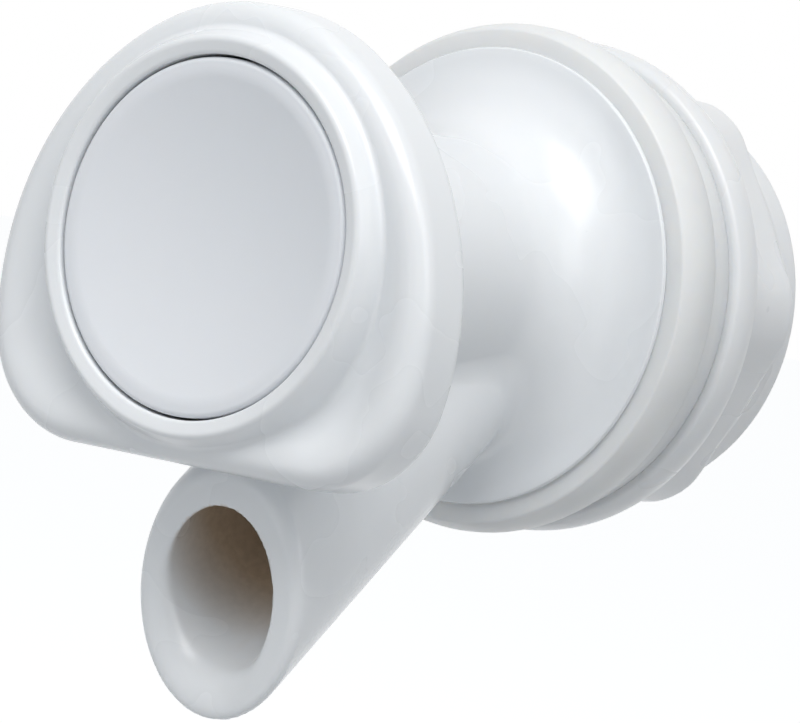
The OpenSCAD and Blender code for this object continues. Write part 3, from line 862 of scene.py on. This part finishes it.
def threadTree():
    tree, given, end = newTree("cutThread", {
        "Pitch": 0.0025, "Depth": 0.0008, "Width": 0.001, "Flank": 0.0005, "From": 0.0, "To": 0.02,
        "Run Out": 0.0012, "Above Radius": 0.012, "Below Radius": 0.0125, "Paint": None})
    spot = nodeOf(tree, "GeometryNodeInputPosition").outputs[0]
    parts = nodeOf(tree, "ShaderNodeSeparateXYZ", {"Vector": spot}).outputs
    turn = mathOf(tree, "DIVIDE", mathOf(tree, "ARCTAN2", parts["Z"], parts["X"]), 2 * math.pi)
    phase = mathOf(tree, "ADD", mathOf(tree, "DIVIDE", parts["Y"], given["Pitch"]), turn)
    away = mathOf(tree, "ABSOLUTE", mathOf(tree, "WRAP", phase, 0.5, -0.5))
    apart = mathOf(tree, "MULTIPLY", away, given["Pitch"])
    left = mathOf(tree, "SUBTRACT", mathOf(tree, "MULTIPLY", given["Width"], 0.5), apart)
    flank = mathOf(tree, "ADD", mathOf(tree, "DIVIDE", left, given["Flank"]), 0.5, clamp=True)
    fromEnd = mathOf(tree, "DIVIDE", mathOf(tree, "SUBTRACT", parts["Y"], given["From"]), given["Run Out"],
                     clamp=True)
    toEnd = mathOf(tree, "DIVIDE", mathOf(tree, "SUBTRACT", given["To"], parts["Y"]), given["Run Out"],
                   clamp=True)
    flat = nodeOf(tree, "ShaderNodeCombineXYZ", {"X": parts["X"], "Z": parts["Z"]}).outputs[0]
    reach = nodeOf(tree, "ShaderNodeVectorMath", {0: flat}, operation="LENGTH").outputs["Value"]
    above = mathOf(tree, "GREATER_THAN", reach, given["Above Radius"])
    below = mathOf(tree, "LESS_THAN", reach, given["Below Radius"])
    cut = mathOf(tree, "MULTIPLY", mathOf(tree, "MULTIPLY", flank, given["Depth"]),
                 mathOf(tree, "MULTIPLY", fromEnd, toEnd))
    cut = mathOf(tree, "MULTIPLY", cut, mathOf(tree, "MULTIPLY", above, below))
    inward = nodeOf(tree, "ShaderNodeVectorMath", {0: flat}, operation="NORMALIZE").outputs[0]
    shift = nodeOf(tree, "ShaderNodeVectorMath",
                   {0: inward, "Scale": mathOf(tree, "MULTIPLY", cut, -1)}, operation="SCALE").outputs[0]
    moved = nodeOf(tree, "GeometryNodeSetPosition", {"Geometry": given["Geometry"], "Offset": shift})
    finishTree(tree, moved.outputs[0], given["Paint"], end)
    return tree


def growMesh(piece, tree, values):
    # runs a tree on a piece and keeps the result as a plain mesh
    modifier = piece.modifiers.new("grow", "NODES")
    modifier.node_group = tree
    for item in tree.interface.items_tree:
        if item.in_out == "INPUT" and item.name in values:
            modifier[item.identifier] = values[item.name]
    evaluated = piece.evaluated_get(bpy.context.evaluated_depsgraph_get())
    made = bpy.data.meshes.new_from_object(evaluated)
    piece.modifiers.clear()
    piece.data = made
    made.name = piece.name


shankSizes = {
    "boreRadius": 9.2, "crestRadius": 12.3, "pilotRadius": 11.4, "fromY": -2.0, "pilotY": 19.5, "toY": 21.5,
    "row": 0.16, "pitch": 2.5, "depth": 0.8, "grooveWidth": 1.25, "flank": 0.55, "threadFromY": 0.4,
    "threadToY": 21.0, "runOut": 1.4,
}
sleeveSizes = {
    "outerRadius": 12.97, "rootRadius": 12.42, "ridgeWidth": 0.85, "depth": 0.78, "fromY": 3.5, "toY": 17.05,
    "row": 0.16, "chamfer": 0.45,
}
cutThread = threadTree()


def addShank(s):
    rows = np.arange(s["fromY"] + 0.6, s["pilotY"] - 0.3, s["row"])
    corners = [(s["boreRadius"], s["fromY"], 0.1), (s["crestRadius"], s["fromY"], 0.1)]
    corners += [(s["crestRadius"], y, 0) for y in rows]
    corners += [(s["crestRadius"], s["pilotY"], 0.2), (s["pilotRadius"], s["pilotY"], 0.15),
                (s["pilotRadius"], s["toY"], 0.3), (s["boreRadius"], s["toY"], 0.3)]
    points, _, faces = turnedMesh(corners, 200)
    shank = meshPiece("ThreadedShank", points, None, faces, "body_plastic")
    growMesh(shank, cutThread, {
        "Pitch": s["pitch"] * mm, "Depth": s["depth"] * mm, "Width": s["grooveWidth"] * mm,
        "Flank": s["flank"] * mm, "From": s["threadFromY"] * mm, "To": s["threadToY"] * mm,
        "Run Out": s["runOut"] * mm, "Above Radius": (s["crestRadius"] - 0.05) * mm,
        "Below Radius": (s["crestRadius"] + 0.05) * mm, "Paint": paints["body_plastic"]})
    shank.data.set_sharp_from_angle(angle=math.radians(40))
    settle(shank, "spigot", "body_plastic")


def addSleeve(s):
    rows = np.arange(s["fromY"] + s["chamfer"] + 0.1, s["toY"] - s["chamfer"] - 0.1, s["row"])
    corners = [(s["outerRadius"], s["fromY"], 0), (s["outerRadius"], s["toY"], 0),
               (s["rootRadius"], s["toY"] - s["chamfer"], 0.1)]
    corners += [(s["rootRadius"], y, 0) for y in rows[::-1]]
    corners += [(s["rootRadius"], s["fromY"] + s["chamfer"], 0.1)]
    points, _, faces = turnedMesh(corners, 200)
    sleeve = meshPiece("NutThread", points, None, faces, "nut_plastic")
    growMesh(sleeve, cutThread, {
        "Pitch": shankSizes["pitch"] * mm, "Depth": s["depth"] * mm, "Width": s["ridgeWidth"] * mm,
        "Flank": shankSizes["flank"] * mm, "From": s["fromY"] * mm, "To": s["toY"] * mm,
        "Run Out": shankSizes["runOut"] * mm, "Above Radius": (s["rootRadius"] - 0.05) * mm,
        "Below Radius": (s["rootRadius"] + 0.05) * mm, "Paint": paints["nut_plastic"]})
    sleeve.data.set_sharp_from_angle(angle=math.radians(40))
    settle(sleeve, "nut", "nut_plastic")


addShank(shankSizes)
addSleeve(sleeveSizes)

# Return spring: a helix with close end turns
springSizes = {
    "coilRadius": 5.7, "wireRadius": 0.45, "turns": 6.0, "closedPitch": 0.95, "travel": 4.5, "seatY": -26.4,
}


def springTree():
    tree, given, end = newTree("coilSpring", {
        "Coil Radius": 0.0057, "Wire Radius": 0.00045, "Turns": 6.0, "Length": 0.0095, "Closed Pitch": 0.00095,
        "Start": -0.0364, "Paint": None})
    share = nodeOf(tree, "GeometryNodeSplineParameter").outputs["Factor"]
    turn = mathOf(tree, "MULTIPLY", share, given["Turns"])
    angle = mathOf(tree, "MULTIPLY", turn, 2 * math.pi)
    openTurns = mathOf(tree, "SUBTRACT", given["Turns"], 2)
    spare = mathOf(tree, "SUBTRACT", given["Length"], mathOf(tree, "MULTIPLY", given["Turns"],
                                                              given["Closed Pitch"]))
    extra = mathOf(tree, "DIVIDE", spare, openTurns)
    opened = mathOf(tree, "MINIMUM", mathOf(tree, "MAXIMUM", mathOf(tree, "SUBTRACT", turn, 1), 0), openTurns)
    rise = mathOf(tree, "ADD", mathOf(tree, "MULTIPLY", turn, given["Closed Pitch"]),
                  mathOf(tree, "MULTIPLY", opened, extra))
    spot = nodeOf(tree, "ShaderNodeCombineXYZ", {
        "X": mathOf(tree, "MULTIPLY", mathOf(tree, "COSINE", angle), given["Coil Radius"]),
        "Y": mathOf(tree, "ADD", rise, given["Start"]),
        "Z": mathOf(tree, "MULTIPLY", mathOf(tree, "SINE", angle), given["Coil Radius"])}).outputs[0]
    line = nodeOf(tree, "GeometryNodeCurvePrimitiveLine")
    fine = nodeOf(tree, "GeometryNodeResampleCurve", {"Curve": line.outputs[0], "Count": 385})
    helix = nodeOf(tree, "GeometryNodeSetPosition", {"Geometry": fine.outputs[0], "Position": spot})
    wire = nodeOf(tree, "GeometryNodeCurvePrimitiveCircle", {"Resolution": 16, "Radius": given["Wire Radius"]})
    coil = nodeOf(tree, "GeometryNodeCurveToMesh",
                  {"Curve": helix.outputs[0], "Profile Curve": wire.outputs[0], "Fill Caps": True})
    finishTree(tree, coil.outputs[0], given["Paint"], end)
    return tree


def addSpring(s):
    low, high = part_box("return_spring")
    spring = bpy.data.objects.new("ReturnSpring", bpy.data.meshes.new("ReturnSpring"))
    scene.collection.objects.link(spring)
    wire = s["wireRadius"] * mm
    growMesh(spring, springTree(), {
        "Coil Radius": s["coilRadius"] * mm, "Wire Radius": wire, "Turns": s["turns"],
        "Length": high.y - low.y - 2 * wire, "Closed Pitch": s["closedPitch"] * mm, "Start": low.y + wire,
        "Paint": paints["steel"]})
    spring.data.shade_smooth()
    settle(spring, "spigot", "steel", "return_spring")
    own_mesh(spring)


addSpring(springSizes)

# Stem: a rod with a collar and a chamfered tail, and guide vanes round it
stemSizes = {
    "radius": 2.5, "topY": -36.9, "tailY": 26.6, "tipWidth": 0.6, "tipLength": 1.0, "collarRadius": 4.5,
    "collarFromY": 18.85, "collarToY": 20.05, "vaneFromY": 4.05, "vaneToY": 17.05, "vaneRadius": 9.1,
    "vaneThick": 1.2, "vaneRound": 1.2, "vanes": 4.0,
}


def vaneTree():
    tree, given, end = newTree("guideVanes", {
        "Count": 4.0, "Radius": 0.0091, "Inner": 0.001, "From": 0.004, "To": 0.017, "Thickness": 0.0012,
        "Round": 0.0012, "Paint": None})
    width = mathOf(tree, "SUBTRACT", given["Radius"], given["Inner"])
    height = mathOf(tree, "SUBTRACT", given["To"], given["From"])
    sheet = nodeOf(tree, "GeometryNodeCurvePrimitiveQuadrilateral", {"Width": width, "Height": height})
    soft = nodeOf(tree, "GeometryNodeFilletCurve",
                  {"Curve": sheet.outputs[0], "Radius": given["Round"], "Count": 6}, mode="POLY")
    filled = nodeOf(tree, "GeometryNodeFillCurve", {"Curve": soft.outputs[0]}, mode="NGONS")
    up = nodeOf(tree, "ShaderNodeCombineXYZ", {"Z": 1.0})
    thick = nodeOf(tree, "GeometryNodeExtrudeMesh", {
        "Mesh": filled.outputs[0], "Offset": up.outputs[0], "Offset Scale": given["Thickness"],
        "Individual": False})
    under = nodeOf(tree, "GeometryNodeFlipFaces", {"Mesh": filled.outputs[0]})
    whole = nodeOf(tree, "GeometryNodeJoinGeometry")
    tree.links.new(thick.outputs["Mesh"], whole.inputs[0])
    tree.links.new(under.outputs[0], whole.inputs[0])
    welded = nodeOf(tree, "GeometryNodeMergeByDistance", {"Geometry": whole.outputs[0], "Distance": 1e-6})
    place = nodeOf(tree, "ShaderNodeCombineXYZ", {
        "X": mathOf(tree, "MULTIPLY", mathOf(tree, "ADD", given["Radius"], given["Inner"]), 0.5),
        "Y": mathOf(tree, "MULTIPLY", mathOf(tree, "ADD", given["From"], given["To"]), 0.5),
        "Z": mathOf(tree, "MULTIPLY", given["Thickness"], -0.5)})
    vane = nodeOf(tree, "GeometryNodeTransform",
                  {"Geometry": welded.outputs[0], "Translation": place.outputs[0]})
    count = nodeOf(tree, "FunctionNodeFloatToInt", {0: given["Count"]}).outputs[0]
    spots = nodeOf(tree, "GeometryNodeMeshLine", {"Count": count, "Offset": (0, 0, 0)})
    order = nodeOf(tree, "GeometryNodeInputIndex").outputs[0]
    share = mathOf(tree, "DIVIDE", mathOf(tree, "ADD", order, 0.5), given["Count"])
    turn = nodeOf(tree, "ShaderNodeCombineXYZ", {"Y": mathOf(tree, "MULTIPLY", share, 2 * math.pi)})
    round_ = nodeOf(tree, "GeometryNodeInstanceOnPoints", {
        "Points": spots.outputs[0], "Instance": vane.outputs[0], "Rotation": turn.outputs[0]})
    finishTree(tree, round_.outputs[0], given["Paint"], end)
    return tree


def addStem(s):
    tip = s["tailY"] - s["tipLength"]
    corners = [
        (0, s["topY"], 0), (s["radius"], s["topY"], 0.2), (s["radius"], s["collarFromY"], 0.3),
        (s["collarRadius"], s["collarFromY"], 0.2), (s["collarRadius"], s["collarToY"], 0.1),
        (s["radius"], s["collarToY"], 0.05), (s["radius"], tip, 0.3),
        (s["radius"] - s["tipWidth"], s["tailY"], 0.2), (0, s["tailY"], 0),
    ]
    addTurned("PlungerStem", "plunger", "stem_plastic", "stem", corners, 96, closed=False)
    vanes = bpy.data.objects.new("GuideVanes", bpy.data.meshes.new("GuideVanes"))
    scene.collection.objects.link(vanes)
    growMesh(vanes, vaneTree(), {
        "Count": s["vanes"], "Radius": s["vaneRadius"] * mm, "Inner": 0.6 * s["radius"] * mm,
        "From": s["vaneFromY"] * mm, "To": s["vaneToY"] * mm, "Thickness": s["vaneThick"] * mm,
        "Round": s["vaneRound"] * mm, "Paint": paints["stem_plastic"]})
    bevel = vanes.modifiers.new("soften", "BEVEL")
    bevel.width = 0.15 * mm
    bevel.segments = 2
    soft = bpy.data.meshes.new_from_object(vanes.evaluated_get(bpy.context.evaluated_depsgraph_get()))
    vanes.modifiers.clear()
    vanes.data = soft
    soft.set_sharp_from_angle(angle=math.radians(35))
    settle(vanes, "plunger", "stem_plastic")


addStem(stemSizes)

# Small round pieces of the gland and the valve, as sections with rounded corners
roundPieces = {
    "GlandWasher": ("spigot", "stem_plastic", "gland_washer", [
        (2.56, -26.4, 0.15), (7.25, -26.4, 0.2), (7.25, -25.4, 0.2), (2.56, -25.4, 0.15)]),
    "StemRing": ("spigot", "o_ring_rubber", "stem_o_ring", [
        (2.55, -25.35, 0.9), (4.35, -25.35, 0.9), (4.35, -23.55, 0.9), (2.55, -23.55, 0.9)]),
    "ValveSeal": ("plunger", "seal_rubber", "valve_seal", [
        (2.5, 20.05, 0.1), (7.0, 20.05, 0.35), (8.9, 21.55, 0.25), (10.6, 21.55, 0.2), (10.6, 22.9, 0.25),
        (10.1, 23.4, 0.25), (2.5, 23.4, 0.1)]),
    "SealWasher": ("plunger", "steel", "seal_washer", [
        (2.5, 23.4, 0.08), (7.5, 23.4, 0.12), (7.5, 24.2, 0.12), (2.5, 24.2, 0.08)]),
    "PushNut": ("plunger", "steel", "push_nut", [
        (3.45, 24.2, 0.3), (4.6, 24.2, 0.1), (4.6, 24.8, 0.1), (3.45, 24.8, 0.3), (2.5, 25.6, 0.08),
        (2.5, 25.0, 0.08)]),
}
for name, (body, slot, node, corners) in roundPieces.items():
    addTurned(name, body, slot, node, corners, 128)

print("all pieces made")
